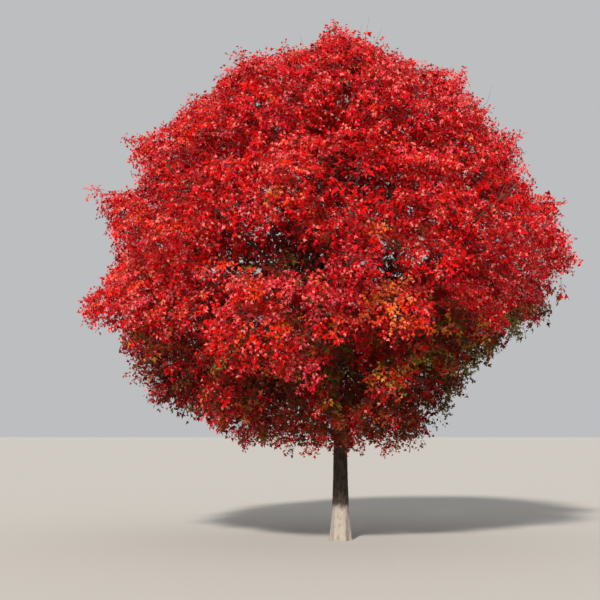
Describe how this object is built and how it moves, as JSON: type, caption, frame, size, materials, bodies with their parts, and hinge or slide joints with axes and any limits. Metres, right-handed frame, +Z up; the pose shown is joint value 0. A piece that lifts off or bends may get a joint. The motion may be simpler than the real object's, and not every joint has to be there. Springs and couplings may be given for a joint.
{
  "type": "red maple tree",
  "caption": "Young broad-crowned red maple in full autumn colour, with a single trunk flaring at its foot, rising boughs and a dense round crown of scarlet leaves hanging low all round.",
  "frame": {"origin": "middle of the flat cut under the trunk, at ground level", "axes": "+Z up along the trunk, +Y away from the picture's viewpoint, +X to the right as seen from there"},
  "size_m": [7.7817, 7.8567, 8.392],
  "materials": {
    "bark": "rough, shallowly fissured grey bark",
    "limb_bark": "smoother dark grey bark of the boughs",
    "leaf_crimson": "thin leaf, slightly glossy above",
    "leaf_scarlet": "thin leaf, slightly glossy above",
    "leaf_dark_red": "thin leaf, slightly glossy above",
    "leaf_orange_red": "thin leaf, slightly glossy above"
  },
  "bodies": {
    "root": {"trunk": "bark", "bough_skirt_1": "limb_bark", "bough_skirt_2": "limb_bark", "bough_skirt_3": "limb_bark", "bough_skirt_4": "limb_bark", "bough_skirt_5": "limb_bark", "bough_lower_1": "limb_bark", "bough_lower_2": "limb_bark", "bough_lower_3": "limb_bark", "bough_lower_4": "limb_bark", "bough_lower_5": "limb_bark", "bough_lower_6": "limb_bark", "bough_lower_7": "limb_bark", "bough_middle_1": "limb_bark", "bough_middle_2": "limb_bark", "bough_middle_3": "limb_bark", "bough_middle_4": "limb_bark", "bough_middle_5": "limb_bark", "bough_middle_6": "limb_bark", "bough_middle_7": "limb_bark", "bough_upper_1": "limb_bark", "bough_upper_2": "limb_bark", "bough_upper_3": "limb_bark", "bough_upper_4": "limb_bark", "bough_upper_5": "limb_bark", "bough_upper_6": "limb_bark", "bough_crown_1": "limb_bark", "bough_crown_2": "limb_bark", "bough_crown_3": "limb_bark", "foliage_skirt_1": "leaf_crimson", "foliage_skirt_2": "leaf_scarlet", "foliage_skirt_3": "leaf_dark_red", "foliage_skirt_4": "leaf_orange_red", "foliage_skirt_5": "leaf_crimson", "foliage_lower_1": "leaf_scarlet", "foliage_lower_2": "leaf_dark_red", "foliage_lower_3": "leaf_orange_red", "foliage_lower_4": "leaf_crimson", "foliage_lower_5": "leaf_scarlet", "foliage_lower_6": "leaf_dark_red", "foliage_lower_7": "leaf_orange_red", "foliage_middle_1": "leaf_crimson", "foliage_middle_2": "leaf_scarlet", "foliage_middle_3": "leaf_dark_red", "foliage_middle_4": "leaf_orange_red", "foliage_middle_5": "leaf_crimson", "foliage_middle_6": "leaf_scarlet", "foliage_middle_7": "leaf_dark_red", "foliage_upper_1": "leaf_orange_red", "foliage_upper_2": "leaf_crimson", "foliage_upper_3": "leaf_scarlet", "foliage_upper_4": "leaf_dark_red", "foliage_upper_5": "leaf_orange_red", "foliage_upper_6": "leaf_crimson", "foliage_crown_1": "leaf_scarlet", "foliage_crown_2": "leaf_dark_red", "foliage_crown_3": "leaf_orange_red", "foliage_top": "leaf_crimson"}
  },
  "joints": []
}
